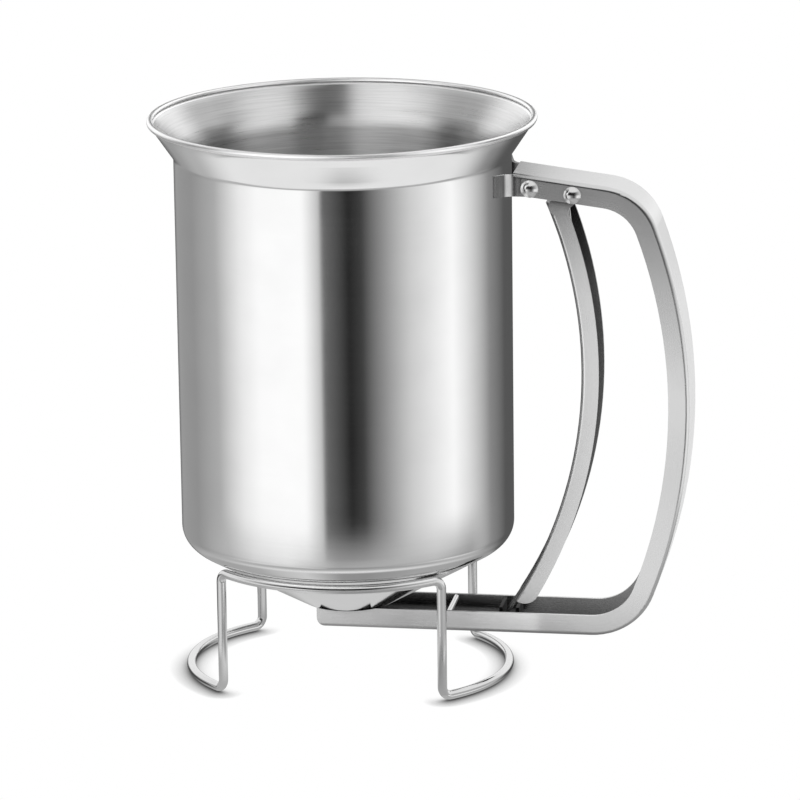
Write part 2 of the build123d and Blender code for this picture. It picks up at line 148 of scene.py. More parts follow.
def rounded_line(corners, radii, step, straight_step):
    """A polyline with its inner corners rounded, sampled along its runs and arcs."""
    points = [corners[0]]
    for before, corner, after, radius in zip(corners, corners[1:], corners[2:], radii):
        into = Vector(corner) - Vector(before)
        out = Vector(after) - Vector(corner)
        into.normalize()
        out.normalize()
        turn = into.angle_signed(out)
        reach = radius * tan(abs(turn) / 2)
        side = -1 if turn > 0 else 1
        normal = Vector((-into.y, into.x)) * side
        start = Vector(corner) - into * reach
        centre = start + normal * radius
        first = atan2(*(start - centre).yx)
        points += arc_points(centre, radius, first, first + side * abs(turn), step)
    points.append(corners[-1])
    filled = [points[0]]
    for a, b in zip(points, points[1:]):
        count = max(1, ceil(hypot(b[0] - a[0], b[1] - a[1]) / straight_step))
        filled += [
            (a[0] + (b[0] - a[0]) * i / count, a[1] + (b[1] - a[1]) * i / count)
            for i in range(1, count + 1)
        ]
    return filled


def without_repeats(points, gap=1e-4):
    """The line without points that repeat."""
    kept = [points[0]]
    for p in points[1:]:
        if hypot(p[0] - kept[-1][0], p[1] - kept[-1][1]) > gap:
            kept.append(p)
    return kept


def line_normals(points):
    """Unit normals of a line, to the right of its direction."""
    normals = []
    for i in range(len(points)):
        a = points[max(i - 1, 0)]
        b = points[min(i + 1, len(points) - 1)]
        length = hypot(b[0] - a[0], b[1] - a[1])
        normals.append(((b[1] - a[1]) / length, -(b[0] - a[0]) / length))
    return normals


def lathe(name, profile, zones, segments, place=Matrix.Identity(4)):
    """Closed profile of (radius, height) turned about Z, with a material zone for each profile edge."""
    count = len(profile)
    verts = []
    for s in range(segments):
        turn = 2 * pi * s / segments
        verts += [
            place @ Vector((r * MM * sin(turn), r * MM * cos(turn), z * MM)) for r, z in profile
        ]
    faces, uvs, slots = [], [], []
    run = [0.0]
    for a, b in zip(profile, profile[1:] + profile[:1]):
        run.append(run[-1] + hypot(b[0] - a[0], b[1] - a[1]) * MM)
    for s in range(segments):
        t = (s + 1) % segments
        for i in range(count):
            j = (i + 1) % count
            if profile[i][0] == profile[j][0] == 0:
                continue
            faces.append((s * count + i, s * count + j, t * count + j, t * count + i))
            left, right = s / segments, (s + 1) / segments
            uvs += [(left, run[i]), (left, run[i + 1]), (right, run[i + 1]), (right, run[i])]
            slots.append(zones[i])
    mesh = bpy.data.meshes.new(name)
    mesh.from_pydata(verts, [], faces)
    set_uv(mesh, uvs)
    mesh.polygons.foreach_set("material_index", slots)
    bm = bmesh.new()
    bm.from_mesh(mesh)
    bmesh.ops.dissolve_degenerate(bm, dist=1e-7, edges=bm.edges)
    bmesh.ops.recalc_face_normals(bm, faces=bm.faces)
    bm.to_mesh(mesh)
    bm.free()
    smooth(mesh, turned_smooth_angle)
    return mesh


def tube(name, path, radius, sides, closed=False):
    """A round wire along a path in millimetres, with UVs in metres along it and in turns round it."""
    points = [Vector(p) for p in path]
    total = len(points)
    tangents = []
    for i in range(total):
        before = points[i - 1] if closed or i else points[i]
        after = points[(i + 1) % total] if closed or i + 1 < total else points[i]
        tangents.append((after - before).normalized())
    side = tangents[0].orthogonal().normalized()
    rings = []
    for i in range(total):
        if i:
            side = (tangents[i - 1].rotation_difference(tangents[i]) @ side).normalized()
        rings.append(side.copy())
    twist = 0.0
    if closed:
        last = (tangents[-1].rotation_difference(tangents[0]) @ rings[-1]).normalized()
        across = tangents[0].cross(rings[0])
        twist = atan2(last.dot(across), last.dot(rings[0]))
    verts = []
    for i, (p, t, s) in enumerate(zip(points, tangents, rings)):
        up = t.cross(s)
        back = -twist * i / total
        for k in range(sides):
            a = 2 * pi * k / sides + back
            verts.append((p + (s * cos(a) + up * sin(a)) * radius) * MM)
    faces, uvs = [], []
    run = 0.0
    spans = total if closed else total - 1
    for i in range(spans):
        j = (i + 1) % total
        step = (points[j] - points[i]).length * MM
        for k in range(sides):
            m = (k + 1) % sides
            faces.append((i * sides + k, i * sides + m, j * sides + m, j * sides + k))
            low, high = k / sides, (k + 1) / sides
            uvs += [(run, low), (run, high), (run + step, high), (run + step, low)]
        run += step
    if not closed:
        for ring, order in ((0, -1), (total - 1, 1)):
            loop = [ring * sides + k for k in range(sides)][::order]
            faces.append(tuple(loop))
            uvs += [(run, 0.0)] * sides
    mesh = bpy.data.meshes.new(name)
    mesh.from_pydata(verts, [], faces)
    set_uv(mesh, uvs)
    smooth(mesh, wire_smooth_angle)
    return mesh


def dressed_copy(name, node, run_of):
    """A solid's mesh with UVs along the sheet: run_of gives (along, off) in millimetres."""
    flange_facing = 0.7
    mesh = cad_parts[node].data.copy()
    mesh.name = name
    mesh.materials.clear()
    for layer in list(mesh.uv_layers):
        mesh.uv_layers.remove(layer)
    where = [run_of(v.co.x / MM, v.co.z / MM) for v in mesh.vertices]
    uvs = []
    for face in mesh.polygons:
        on_flange = abs(face.normal.y) > flange_facing
        for corner in face.loop_indices:
            vertex = mesh.loops[corner].vertex_index
            along, off = where[vertex]
            across = off * MM if on_flange else mesh.vertices[vertex].co.y
            uvs.append((along * MM, across))
    set_uv(mesh, uvs)
    return mesh


# Steel, with grain, cloudiness and fine bump from its nodes, and painted shade where other surfaces are near

class Nodes:
    """Adds linked nodes to one material."""

    def __init__(self, name):
        self.material = bpy.data.materials.new(name)
        self.material.use_nodes = True
        self.tree = self.material.node_tree
        self.tree.nodes.clear()

    def add(self, kind, settings=None, **inputs):
        """A new node whose inputs are linked or set, by name or by number as i0, i1 and so on."""
        node = self.tree.nodes.new("ShaderNode" + kind)
        for key, value in (settings or {}).items():
            setattr(node, key, value)
        for key, value in inputs.items():
            numbered = key[0] == "i" and key[1:].isdigit()
            socket = node.inputs[int(key[1:]) if numbered else key.replace("_", " ")]
            if isinstance(value, bpy.types.NodeSocket):
                self.tree.links.new(value, socket)
            else:
                socket.default_value = value
        return node

    def math(self, operation, a, b=0.0, clamp=False):
        """The result of one operation."""
        node = self.add("Math", {"operation": operation, "use_clamp": clamp}, i0=a, i1=b)
        return node.outputs[0]

    def bring(self, value, start, end, low=0.0, high=1.0, curve="LINEAR"):
        """A value from the range start to end brought to the range low to high, and held at its ends."""
        settings = {"interpolation_type": curve}
        node = self.add("MapRange", settings, i0=value, i1=start, i2=end, i3=low, i4=high)
        return node.outputs[0]

    def stretch(self, noise, low, high):
        """Noise, which lies mostly between a quarter and three quarters, brought to a range."""
        return self.bring(noise, 0.25, 0.75, low, high)

    def split(self, vector):
        """The X, Y and Z of a vector."""
        return self.add("SeparateXYZ", None, i0=vector).outputs

    def spot(self):
        """The X, Y and Z of the point in its object's own space."""
        return self.split(self.add("TexCoord").outputs["Object"])

    def glow(self, color, strength=1.0):
        """A surface that gives light."""
        return self.add("Emission", None, Color=color, Strength=strength).outputs[0]

    def show(self, shader):
        """Makes a shader the material's surface."""
        self.tree.links.new(shader, self.add("OutputMaterial").inputs[0])


def steel(
    name, tone, rough, spread, grain, lines, along, bump,
    anisotropy=0.0, cloud=0.05, streak=0.03, painted_shade_reach=0.0, painted_shade_power=1.5,
):
    """Steel with grain that follows the 'run' UVs, rings round the cup's axis, or level lines."""
    tone_drift = 0.02
    bump_depth = 0.00002
    n = Nodes(name)
    coordinates = n.add("TexCoord").outputs
    run = n.split(n.add("UVMap", {"uv_map": "run"}).outputs[0])
    spot = n.split(coordinates["Object"])
    if grain == "run":
        parts = (n.math("MULTIPLY", run[0], along), n.math("MULTIPLY", run[1], lines), 0.0)
    else:
        parts = (
            n.math("MULTIPLY", spot[0], along),
            n.math("MULTIPLY", spot[1], along),
            n.math("MULTIPLY", run[1] if grain == "ring" else spot[2], lines),
        )
    vector = n.add("CombineXYZ", None, i0=parts[0], i1=parts[1], i2=parts[2]).outputs[0]
    fine = n.add("TexNoise", None, Vector=vector, Scale=1.0, Detail=4.0, Roughness=0.65).outputs[0]
    wide = n.add(
        "TexNoise", None, Vector=coordinates["Object"], Scale=70.0, Detail=3.0, Roughness=0.5
    ).outputs[0]
    roughness = n.math(
        "ADD", n.stretch(fine, rough - spread, rough + spread), n.stretch(wide, -cloud, cloud), True
    )
    shade = n.math(
        "ADD", n.stretch(fine, -streak, streak), n.stretch(wide, tone - tone_drift, tone + tone_drift), True
    )
    # Painted shade: ambient occlusion within the reach darkens the colour, standing in for the shade in
    # channels, recesses and at contacts
    if painted_shade_reach:
        open_share = n.add("AmbientOcclusion", {"samples": 8}, Distance=painted_shade_reach).outputs["AO"]
        shade = n.math("MULTIPLY", shade, n.math("POWER", open_share, painted_shade_power))
    color = n.add("CombineColor", None, i0=shade, i1=shade, i2=shade).outputs[0]
    normal = n.add("Bump", None, Height=fine, Strength=bump, Distance=bump_depth).outputs[0]
    shader = n.add(
        "BsdfPrincipled", None, Base_Color=color, Roughness=roughness, Normal=normal, Metallic=1.0
    )
    if anisotropy:
        if grain == "ring":
            tangent = n.add("Tangent", {"direction_type": "RADIAL", "axis": "Z"}).outputs[0]
        else:
            tangent = n.add("Tangent", {"direction_type": "UV_MAP", "uv_map": "run"}).outputs[0]
        n.tree.links.new(tangent, shader.inputs["Tangent"])
        shader.inputs["Anisotropic"].default_value = anisotropy
        shader.inputs["Anisotropic Rotation"].default_value = 0.25
    n.show(shader.outputs[0])
    return n.material


polished = steel(
    "polished_cup", tone=0.80, rough=0.10, spread=0.02, grain="ring", lines=3000.0, along=30.0, bump=0.03,
    cloud=0.015, streak=0.008,
)
brushed_inside = steel(
    "brushed_inside", tone=0.68, rough=0.30, spread=0.04, grain="ring", lines=1500.0, along=40.0, bump=0.14,
    anisotropy=1.0, cloud=0.02, streak=0.12,
)
rim_finish = steel(
    "rim_finish", tone=0.86, rough=0.38, spread=0.04, grain="ring", lines=2500.0, along=60.0, bump=0.1
)
# Painted shade darkens the handle's and lever's channels and the bracket's and rivets' contacts
satin_handle = steel(
    "satin_handle", tone=0.76, rough=0.24, spread=0.05, grain="run", lines=2600.0, along=70.0, bump=0.25,
    anisotropy=0.3, painted_shade_reach=0.03, painted_shade_power=1.2,
)
satin_lever = steel(
    "satin_lever", tone=0.76, rough=0.25, spread=0.05, grain="run", lines=2600.0, along=70.0, bump=0.25,
    anisotropy=0.3, painted_shade_reach=0.03, painted_shade_power=3.0,
)
satin_bracket = steel(
    "satin_bracket", tone=0.76, rough=0.20, spread=0.05, grain="run", lines=2600.0, along=120.0, bump=0.2,
    painted_shade_reach=0.006,
)
rivet_finish = steel(
    "rivet_finish", tone=0.80, rough=0.16, spread=0.05, grain="level", lines=900.0, along=900.0, bump=0.1,
    painted_shade_reach=0.003,
)
# Painted shade: near-black steel for the slide and the pivot washers, which sit in shade
painted_shade_steel = steel(
    "painted_shade_steel", tone=0.10, rough=0.50, spread=0.07, grain="level", lines=1800.0, along=120.0, bump=0.25,
    painted_shade_reach=0.03, painted_shade_power=2.5,
)
drawn_spring = steel(
    "drawn_spring", tone=0.55, rough=0.24, spread=0.06, grain="run", lines=40.0, along=200.0, bump=0.2
)
bright_wire = steel(
    "bright_wire", tone=0.80, rough=0.12, spread=0.04, grain="run", lines=60.0, along=160.0, bump=0.12
)

# Cup: outer line, rim bead and inner line as one closed profile
cup_corners = [
    (spout_hole_radius, outlet_seat_z),
    (seat_radius, outlet_seat_z),
    (cup_radius, funnel_edge_z),
    (cup_radius, flare_start_z),
    (mouth_radius, cup_height - rim_bead_radius),
]
bead = (mouth_radius - rim_bead_radius / 2, cup_height - rim_bead_radius)
bead_clearance = 1.02


def cup_line(bend_radius):
    """The cup's side line from the outlet to the mouth, with the given bend under the flare."""
    radii = [funnel_tip_radius, floor_corner_radius, bend_radius]
    return without_repeats(rounded_line(cup_corners, radii, step=0.35, straight_step=2.0))


def clear_of_bead(line):
    """The points of a line that lie outside the rim's bead."""
    reach = rim_bead_radius * bead_clearance
    return [p for p in line if hypot(p[0] - bead[0], p[1] - bead[1]) > reach]


def angle_on_bead(point):
    """The direction of a point as seen from the bead's middle."""
    return atan2(point[1] - bead[1], point[0] - bead[0])


beside = cup_line(inside_bend_radius - cup_wall)
outer_wall = clear_of_bead(cup_line(flare_bend_radius))
inner_wall = clear_of_bead(
    [
        (point[0] - normal[0] * cup_wall, point[1] - normal[1] * cup_wall)
        for point, normal in zip(beside, line_normals(beside))
    ]
)
bead_from = angle_on_bead(outer_wall[-1])
bead_to = angle_on_bead(inner_wall[-1]) + 2 * pi
bead_line = arc_points(bead, rim_bead_radius, bead_from, bead_to, step=0.2)
cup_profile = outer_wall + bead_line + inner_wall[::-1]
cup_materials = (polished, brushed_inside, rim_finish)
outside_zone, inside_zone, rim_zone = range(len(cup_materials))
cup_zones = [outside_zone] * len(outer_wall) + [rim_zone] * len(bead_line) + [inside_zone] * len(inner_wall)
cup = put("cup", lathe("cup", cup_profile, cup_zones, cup_segments), "dispenser", "cup_steel", "cup_shell")
for material in cup_materials:
    cup.data.materials.append(material)


# Handle, lever and bracket: the solids' meshes with grain that follows the sheet

def handle_path():
    """Side-view points along the handle's outer face, from its top end to the end of its arm."""
    centre = (grip_reach - grip_radius, grip_mid_z)
    heading = (cos(handle_top_slope), -sin(handle_top_slope))
    inward = (-sin(handle_top_slope), -cos(handle_top_slope))
    upper = (handle_end[0] + inward[0] * upper_bend_radius, handle_end[1] + inward[1] * upper_bend_radius)
    between_centres = grip_radius - upper_bend_radius
    offset = (upper[0] - centre[0], upper[1] - centre[1])
    reach = offset[0] * heading[0] + offset[1] * heading[1]
    run = sqrt(reach**2 - offset[0] ** 2 - offset[1] ** 2 + between_centres**2) - reach
    top_bend = (upper[0] + run * heading[0], upper[1] + run * heading[1])
    low_z = arm_underside_z + lower_bend_radius
    low_x = centre[0] + sqrt((grip_radius - lower_bend_radius) ** 2 - (low_z - centre[1]) ** 2)
    top_angle = atan2(top_bend[1] - centre[1], top_bend[0] - centre[0])
    low_angle = atan2(low_z - centre[1], low_x - centre[0])
    points = [handle_end]
    points += arc_points(top_bend, upper_bend_radius, pi / 2 - handle_top_slope, top_angle, bend_step)
    points += arc_points(centre, grip_radius, top_angle, low_angle, step=1.0)
    points += arc_points((low_x, low_z), lower_bend_radius, low_angle, -pi / 2, bend_step)
    points.append((arm_end_x, arm_underside_z))
    return without_repeats(points)


handle_line = handle_path()
handle_run = [0.0]
for a, b in zip(handle_line, handle_line[1:]):
    handle_run.append(handle_run[-1] + hypot(b[0] - a[0], b[1] - a[1]))


def along_handle(x, z):
    """How far along the handle's outer face a side-view point is, and how far inside that face."""
    best_gap, best_along = 1e9, 0.0
    for a, b, start in zip(handle_line, handle_line[1:], handle_run):
        step = (b[0] - a[0], b[1] - a[1])
        length = hypot(*step)
        t = ((x - a[0]) * step[0] + (z - a[1]) * step[1]) / length**2
        t = min(1.0, max(0.0, t))
        gap = hypot(x - a[0] - t * step[0], z - a[1] - t * step[1])
        if gap < best_gap:
            best_gap, best_along = gap, start + t * length
    return best_along, best_gap


def along_lever(x, z):
    """How far along the lever's bow a side-view point is, and how far out from its web."""
    offset = (x - lever_centre[0], z - lever_centre[1])
    return atan2(offset[1], offset[0]) * lever_web_radius, hypot(*offset) - lever_web_radius


def along_bracket(x, z):
    """The bracket's grain runs level."""
    return x, z


handle_mesh = dressed_copy("handle", "outer_handle", along_handle)
handle = put("handle", handle_mesh, "dispenser", "handle_steel", "outer_handle")
handle.data.materials.append(satin_handle)
lever_mesh = dressed_copy("lever", "trigger_lever", along_lever)
lever = put("lever", lever_mesh, "lever", "lever_steel", "trigger_lever")
lever.data.materials.append(satin_lever)
bracket_mesh = dressed_copy("bracket", "handle_bracket", along_bracket)
bracket = put("bracket", bracket_mesh, "dispenser", "bracket_steel", "handle_bracket")
bracket.data.materials.append(satin_bracket)


# Rivets with domed heads

def rivet_dome():
    """Points of a rivet's head from its middle to its edge, on the handle's side."""
    dome_radius = (rivet_head_radius**2 + rivet_head_height**2) / (2 * rivet_head_height)
    centre = (0, handle_half_width + rivet_head_height - dome_radius)
    edge = asin((dome_radius - rivet_head_height) / dome_radius)
    middle = (0, handle_half_width + rivet_head_height)
    return [middle] + arc_points(centre, dome_radius, pi / 2, edge, step=0.25)[1:]


def rivet(name, profile, spot, side, node):
    """A turned rivet whose axis runs across the object, headed at the front or the back."""
    place = Matrix.Translation((spot[0] * MM, 0, spot[1] * MM)) @ Matrix.Rotation(-side * pi / 2, 4, "X")
    mesh = lathe(name, profile, [0] * len(profile), rivet_segments, place)
    mesh.materials.append(rivet_finish)
    return put(name, mesh, "dispenser", "rivet_steel", node)


tail_end = bracket_inside - rivet_tail_height
bracket_rivet_profile = rivet_dome() + [
    (rivet_shank_radius, handle_half_width),
    (rivet_shank_radius, bracket_inside),
    (rivet_tail_radius, bracket_inside),
    (rivet_tail_radius, tail_end),
    (0, tail_end),
]
pivot_half = rivet_dome() + [(rivet_shank_radius, handle_half_width)]
pivot_profile = pivot_half + [(r, -z) for r, z in pivot_half[::-1]]
rivets = [
    rivet("bracket_rivet_front", bracket_rivet_profile, bracket_rivet, -1, "bracket_rivets"),
    rivet("bracket_rivet_back", bracket_rivet_profile, bracket_rivet, 1, "bracket_rivets"),
    rivet("pivot_pin", pivot_profile, pivot, -1, "pivot_rivet"),
]

# Return spring: a leg along the lever, a coil round the pivot and a leg under the handle's top
spring_foot_z = pivot[1] - spring_lever_leg_drop
spring_foot_radius = lever_web_radius + lever_sheet + spring_lever_gap + spring_wire / 2
spring_foot_x = lever_centre[0] + sqrt(spring_foot_radius**2 - (spring_foot_z - lever_centre[1]) ** 2)
foot_rise = pivot[1] - spring_foot_z
foot_run = pivot[0] - spring_foot_x
foot_distance = hypot(foot_run, foot_rise)
coil_start = atan2(foot_rise, foot_run) + pi / 2 + asin(spring_mean_radius / foot_distance)
coil_sweep = 2 * pi * spring_whole_turns + coil_start - (pi / 2 - handle_top_slope)
coil_length = spring_pitch * coil_sweep / (2 * pi)


def coil_point(share):
    """Point of the coil's centre line at a share of its sweep."""
    angle = coil_start - coil_sweep * share
    return Vector(
        (
            pivot[0] + spring_mean_radius * cos(angle),
            coil_length * (share - 0.5),
            pivot[1] + spring_mean_radius * sin(angle),
        )
    )


def coil_heading(share):
    """Direction of the coil's centre line at one of its ends, seen from the side."""
    angle = coil_start - coil_sweep * share
    return Vector((sin(angle), 0, -cos(angle)))


lever_leg = sqrt(foot_distance**2 - spring_mean_radius**2)
spring_path = [
    coil_point(0) - coil_heading(0) * lever_leg * (1 - i / spring_leg_steps) for i in range(spring_leg_steps)
]
spring_path += [coil_point(i / spring_coil_steps) for i in range(spring_coil_steps + 1)]
spring_path += [
    coil_point(1) + coil_heading(1) * spring_handle_leg * i / spring_leg_steps
    for i in range(1, spring_leg_steps + 1)
]
spring = bpy.data.objects.new("spring", tube("spring", spring_path, spring_wire / 2, spring_sides))
scene.collection.objects.link(spring)
spring.data.materials.append(drawn_spring)
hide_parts("return_spring")
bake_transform(spring)

# The photograph's cup shows no reflection of the handle and of what is fixed to it
for piece in [handle, lever, bracket, spring] + rivets + [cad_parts["pivot_washers"]]:
    piece.visible_glossy = False


# Stand: one closed wire

def stand_quarter(side, depth):
    """Points from the ring's middle to a foot's middle: side is left or right, depth is front or back."""
    wire_radius = stand_wire / 2
    bend_angle = atan2(stand_bend_radius, ring_radius)
    ring_angle = leg_angle - bend_angle
    leg_distance = hypot(ring_radius, stand_bend_radius)
    leg = (leg_distance * sin(leg_angle), leg_distance * cos(leg_angle))
    bulge = foot_reach - leg[0]
    offset = (leg[1] ** 2 - bulge**2 - stand_bend_radius**2) / (2 * bulge)
    foot_radius = bulge + offset
    foot_angle = atan2(leg[1], offset) - atan2(stand_bend_radius, foot_radius)
    points = []
    for x, y in arc_points((0, 0), ring_radius, pi / 2, pi / 2 - ring_angle, step=1.2):
        points.append((x, y, ring_z))
    heading = (cos(ring_angle), -sin(ring_angle))
    start = points[-1]
    for run, drop in arc_points((0, -stand_bend_radius), stand_bend_radius, pi / 2, 0, bend_step)[1:]:
        points.append((start[0] + heading[0] * run, start[1] + heading[1] * run, ring_z + drop))
    for share in (0.75, 0.5, 0.25):
        points.append((leg[0], leg[1], ring_z * share))
    foot_heading = (sin(foot_angle), -cos(foot_angle))
    bend_z = wire_radius + stand_bend_radius
    for run, drop in arc_points((stand_bend_radius, 0), stand_bend_radius, pi, 1.5 * pi, bend_step):
        points.append((leg[0] + foot_heading[0] * run, leg[1] + foot_heading[1] * run, bend_z + drop))
    foot_centre = (leg[0] - offset, 0)
    for x, y in arc_points(foot_centre, foot_radius, foot_angle, 0, step=1.0)[1:]:
        points.append((x, y, wire_radius))
    return [(side * x, depth * y, z) for x, y, z in points]


stand_path = (
    stand_quarter(1, -1)
    + stand_quarter(1, 1)[::-1][1:]
    + stand_quarter(-1, 1)[1:]
    + stand_quarter(-1, -1)[::-1][1:-1]
)
stand_mesh = tube("stand", stand_path, stand_wire / 2, stand_sides, closed=True)
stand = put("stand", stand_mesh, "stand", "stand_wire", "wire_stand")
stand.data.materials.append(bright_wire)

# The other solids keep their own meshes
plain_nodes = {
    "outlet_spout": rivet_finish,
    # The washers and the slide take the near-black steel as painted shade
    "pivot_washers": painted_shade_steel,
    "valve_slide": painted_shade_steel,
    "stop_pin": rivet_finish,
}
for node, material in plain_nodes.items():
    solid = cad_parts[node]
    solid.data.materials.clear()
    solid.data.materials.append(material)

# Camera, at the place fitted to the photograph's rim, wall and stand, in metres
camera_place = (0.246146, -1.430796, 0.466171)
camera_right = Vector((0.98778049, 0.15534286, -0.01258153))
camera_up = Vector((-0.02765684, 0.25416218, 0.9667661))
camera_forward = Vector((-0.15337796, 0.95460472, -0.25535274))
camera_data = bpy.data.cameras.new("camera")
camera_data.lens = 225.7
camera_data.sensor_width = 36.0
camera_data.clip_start = 0.05
camera_data.clip_end = 50.0
camera = bpy.data.objects.new("camera", camera_data)
camera_turn = Matrix((camera_right, camera_up, -camera_forward)).transposed()
camera.matrix_world = Matrix.Translation(camera_place) @ camera_turn.to_4x4()
scene.collection.objects.link(camera)
scene.camera = camera
scene.view_settings.view_transform = "Standard"

# White surroundings
world = bpy.data.worlds.new("surroundings")
world.use_nodes = True
scene.world = world
world.node_tree.nodes["Background"].inputs["Color"].default_value = (1.0, 1.0, 1.0, 1.0)
world.node_tree.nodes["Background"].inputs["Strength"].default_value = 1.0


# Floor, white to the camera, with a short soft shadow in front of what stands on it

def level_square(name, half, height):
    """A level square about the cup's axis, in metres."""
    mesh = bpy.data.meshes.new(name)
    corners = [(x * half, y * half, height) for x, y in ((-1, -1), (1, -1), (1, 1), (-1, 1))]
    mesh.from_pydata(corners, [], [(0, 1, 2, 3)])
    return mesh


floor_half = 3.0
shadow_reach = 0.0055
shadow_power = 2.0
floor_grey = (0.9, 0.9, 0.9, 1.0)
floor_mesh = level_square("floor", floor_half, 0.0)
floor = bpy.data.objects.new("floor", floor_mesh)
scene.collection.objects.link(floor)
floor.visible_glossy = False
n = Nodes("floor_white")
# The shadow looks up and to the back for what is near, so that it falls in front of that
leaning = n.add("CombineXYZ", None, i0=0.0, i1=0.8, i2=0.6).outputs[0]
open_share = n.add("AmbientOcclusion", {"samples": 16}, Distance=shadow_reach, Normal=leaning).outputs["AO"]
white = n.glow(n.math("POWER", open_share, shadow_power))
matte = n.add("BsdfDiffuse", None, Color=floor_grey).outputs[0]
seen = n.add("LightPath").outputs["Is Camera Ray"]
n.show(n.add("MixShader", None, i0=seen, i1=matte, i2=white).outputs[0])
floor_mesh.materials.append(n.material)


# What the steel reflects: tents, cards and a floor, all glowing and seen by reflections alone

# Degrees from the -Y axis to about where the camera stands
camera_side = 9.5

# Tent zones by height, in shares of the radius: where each begins to take over, and where it is full
middle_zone = (-0.14, 0.02)
high_zone = (0.40, 0.60)
under_zone = (-0.40, -0.58)
below_zone = (-0.58, -0.80)
tent_centre = (0.0, 0.0, 0.1)

# The floor ring glows on the camera's side and is clear behind, by degrees to the right of the camera
ring_sides = [(-104.0, 0.0), (-84.0, 1.0), (84.0, 1.0), (104.0, 0.0)]

# Distances from the axis between which the floor disc changes from its own level there to levels by side
axis_zone = (0.025, 0.04)


def ramp(n, share, stops):
    """Grey levels by a share from 0 to 1."""
    node = n.add("ValToRGB", None, Fac=share)
    elements = node.color_ramp.elements
    while len(elements) > 1:
        elements.remove(elements[0])
    for i, (position, level) in enumerate(stops):
        element = elements[0] if i == 0 else elements.new(position)
        element.position = position
        element.color = (level, level, level, 1.0)
    return node.outputs[0]


def side_share(n, spot):
    """The direction of a spot round the axis as a share of a turn, one half at -Y."""
    side = n.math("ARCTAN2", spot[0], n.math("MULTIPLY", spot[1], -1.0))
    return n.math("ADD", n.math("DIVIDE", side, 2 * pi), 0.5)


def ramp_by_side(n, share, stops):
    """Levels by direction round the object, in degrees to the right of the camera."""
    return ramp(n, share, [((angle + camera_side) / 360 + 0.5, level) for angle, level in stops])


def fade(n, share, first, second):
    """One colour fading to another, each a socket or a grey level."""
    node = n.add("Mix", {"data_type": "RGBA"})
    n.tree.links.new(share, node.inputs[0])
    for socket, value in ((node.inputs[6], first), (node.inputs[7], second)):
        if isinstance(value, bpy.types.NodeSocket):
            n.tree.links.new(value, socket)
        else:
            socket.default_value = (value, value, value, 1.0)
    return node.outputs[2]


def see_through(n, glow):
    """A glow that also lets through what is behind it."""
    return n.add("AddShader", None, i0=glow, i1=n.add("BsdfTransparent").outputs[0]).outputs[0]


def show_where(n, strong, glow):
    """Makes a material that glows where it is strong and is clear elsewhere."""
    clear = n.add("BsdfTransparent").outputs[0]
    n.show(n.add("MixShader", None, i0=strong, i1=clear, i2=glow).outputs[0])


def reflected_only(name, mesh, material, receivers=(), place=(0.0, 0.0, 0.0)):
    """Links a stage mesh that only reflections see, those in the given pieces or else in all."""
    mesh.materials.append(material)
    panel = bpy.data.objects.new(name, mesh)
    panel.location = place
    scene.collection.objects.link(panel)
    panel.visible_camera = False
    panel.visible_diffuse = False
    panel.visible_shadow = False
    panel.visible_transmission = False
    if receivers:
        group = bpy.data.collections.new(name + "_lit")
        for piece in receivers:
            group.objects.link(piece)
        panel.light_linking.receiver_collection = group


def light_tent(name, radius, low, middle, high, under, below, clear, receivers):
    """A glowing sphere with levels by direction and height. If clear, it lets through what is behind it."""
    mesh = bpy.data.meshes.new(name)
    bm = bmesh.new()
    bmesh.ops.create_uvsphere(bm, u_segments=64, v_segments=32, radius=radius)
    bm.to_mesh(mesh)
    bm.free()
    mesh.shade_smooth()
    n = Nodes(name)
    spot = n.spot()
    share = side_share(n, spot)
    height = n.math("DIVIDE", spot[2], radius)
    color = ramp_by_side(n, share, low)
    for zone, levels in ((middle_zone, middle), (high_zone, high), (under_zone, under)):
        zone_share = n.bring(height, *zone, curve="SMOOTHSTEP")
        color = fade(n, zone_share, color, ramp_by_side(n, share, levels))
    color = fade(n, n.bring(height, *below_zone, curve="SMOOTHSTEP"), color, below)
    glow = n.glow(color)
    n.show(see_through(n, glow) if clear else glow)
    reflected_only(name, mesh, n.material, receivers, tent_centre)


def floor_ring(name, radius, top, full, bottom, levels, foot_share):
    """The floor near the object as reflections see it, a low upright ring that fades out at its top."""
    segments = 96
    turns = [2 * pi * s / segments for s in range(segments)]
    verts = [(radius * sin(t), radius * cos(t), z) for t in turns for z in (bottom, top)]
    faces = [
        (2 * s, 2 * s + 1, 2 * ((s + 1) % segments) + 1, 2 * ((s + 1) % segments)) for s in range(segments)
    ]
    mesh = bpy.data.meshes.new(name)
    mesh.from_pydata(verts, [], faces)
    n = Nodes(name)
    spot = n.spot()
    share = side_share(n, spot)
    depth = n.bring(spot[2], full, bottom, 1.0, foot_share)
    strong = n.math("MULTIPLY", n.bring(spot[2], top, full), ramp_by_side(n, share, ring_sides))
    show_where(n, strong, n.glow(ramp_by_side(n, share, levels), depth))
    reflected_only(name, mesh, n.material)


def floor_disc(name, height, reach, edge, axis_level, levels):
    """The floor under the object as reflections see it, with one level near the axis and levels by side."""
    n = Nodes(name)
    spot = n.spot()
    level_spot = n.add("CombineXYZ", None, i0=spot[0], i1=spot[1]).outputs[0]
    away = n.add("VectorMath", {"operation": "LENGTH"}, i0=level_spot).outputs["Value"]
    by_side = ramp_by_side(n, side_share(n, spot), levels)
    color = fade(n, n.bring(away, *axis_zone), axis_level, by_side)
    show_where(n, n.bring(away, edge, reach, 1.0, 0.0), n.glow(color))
    reflected_only(name, level_square(name, reach, height), n.material)


